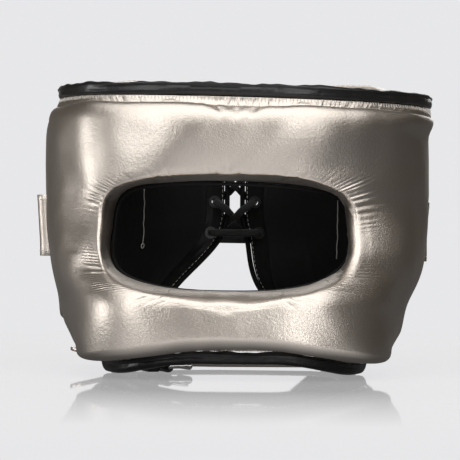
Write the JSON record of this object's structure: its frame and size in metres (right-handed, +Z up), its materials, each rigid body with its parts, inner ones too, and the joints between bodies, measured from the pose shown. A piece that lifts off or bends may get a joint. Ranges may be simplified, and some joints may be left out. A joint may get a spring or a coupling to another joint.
{
  "type": "boxing headgear with face bar",
  "caption": "Padded leather boxing headgear with a full face bar, wide eye window, laced back and crown, wrap strap and buckled chin strap.",
  "frame": {"origin": "on the floor, under the middle of the whole part's bounding box", "axes": "+X to the right as the picture shows the front, +Y to the back of the head, +Z up; the wearer looks along -Y"},
  "size_m": [0.2748, 0.2922, 0.1879],
  "materials": {
    "silver_leather": "metallic champagne, fine grain, satin",
    "black_leather": "smooth, semi-gloss",
    "lining": "soft matt suede",
    "soft_foam": "open foam",
    "firm_foam": "dense foam",
    "stiffener": "moulded sheet",
    "steel": "nickel plated",
    "black_enamel": "black lacquer on brass, glossy",
    "lace": "waxed braid",
    "loop_pile": "looped pile",
    "hook_pile": "stiff hooks"
  },
  "bodies": {
    "shell": {"face_cover": "silver_leather", "forehead_foam": "soft_foam", "cheek_foam_left": "soft_foam", "cheek_foam_right": "soft_foam", "bar_foam_front": "firm_foam", "bar_foam_back": "soft_foam", "bar_stiffener": "stiffener", "face_lining": "lining", "window_piping": "black_leather", "top_binding": "black_leather", "bottom_binding": "black_leather", "top_gusset": "lining", "ear_sleeve_left": "black_leather", "ear_sleeve_right": "black_leather", "rear_cover_left": "silver_leather", "rear_cover_right": "silver_leather", "rear_foam_left": "soft_foam", "rear_foam_right": "soft_foam", "rear_lining_left": "lining", "rear_lining_right": "lining", "lace_strip_left": "black_leather", "lace_strip_right": "black_leather", "rear_edge_left": "black_leather", "rear_edge_right": "black_leather", "rear_eyelets": "black_enamel", "rear_lace": "lace", "crown_wing_left": "silver_leather", "crown_wing_right": "silver_leather", "crown_eyelets": "black_enamel", "crown_lace": "lace", "wrap_strap": "silver_leather", "ring_keeper": "silver_leather", "closure_ring": "steel", "loop_patch": "loop_pile", "chin_studs": "steel"},
    "tab": {"closure_tab": "silver_leather", "hook_patch": "hook_pile"},
    "tongue": {"tongue_strap": "silver_leather"},
    "buckle_leather": {"buckle_strap": "black_leather", "strap_keeper": "black_leather"},
    "frame": {"buckle_frame": "steel"},
    "prong": {"buckle_prong": "steel"},
    "roller": {"buckle_roller": "steel"}
  },
  "joints": [
    {"name": "tab_peel", "type": "hinge", "parent": "shell", "child": "tab", "pos_m": [0.06712, 0.12111, 0.092], "axis": [0, 0, -1], "range_deg": [0, 110]},
    {"name": "tongue_swing", "type": "hinge", "parent": "shell", "child": "tongue", "pos_m": [0.08168, -0.00715, 0.025], "axis": [1, 0, 0], "range_deg": [-25, 25]},
    {"name": "buckle_swing", "type": "hinge", "parent": "shell", "child": "buckle_leather", "pos_m": [-0.073, -0.06922, 0.025], "axis": [0.9327, 0.3606, 0], "range_deg": [-40, 40]},
    {"name": "frame_tilt", "type": "hinge", "parent": "buckle_leather", "child": "frame", "pos_m": [-0.04502, -0.0584, 0.0038], "axis": [0.3606, -0.9327, 0], "range_deg": [0, 30]},
    {"name": "prong_lift", "type": "hinge", "parent": "frame", "child": "prong", "pos_m": [-0.04502, -0.0584, 0.0038], "axis": [0.3606, -0.9327, 0], "range_deg": [0, 90]},
    {"name": "roller_spin", "type": "hinge", "parent": "frame", "child": "roller", "pos_m": [-0.03196, -0.05336, 0.0038], "axis": [0.3606, -0.9327, 0], "continuous": true}
  ]
}
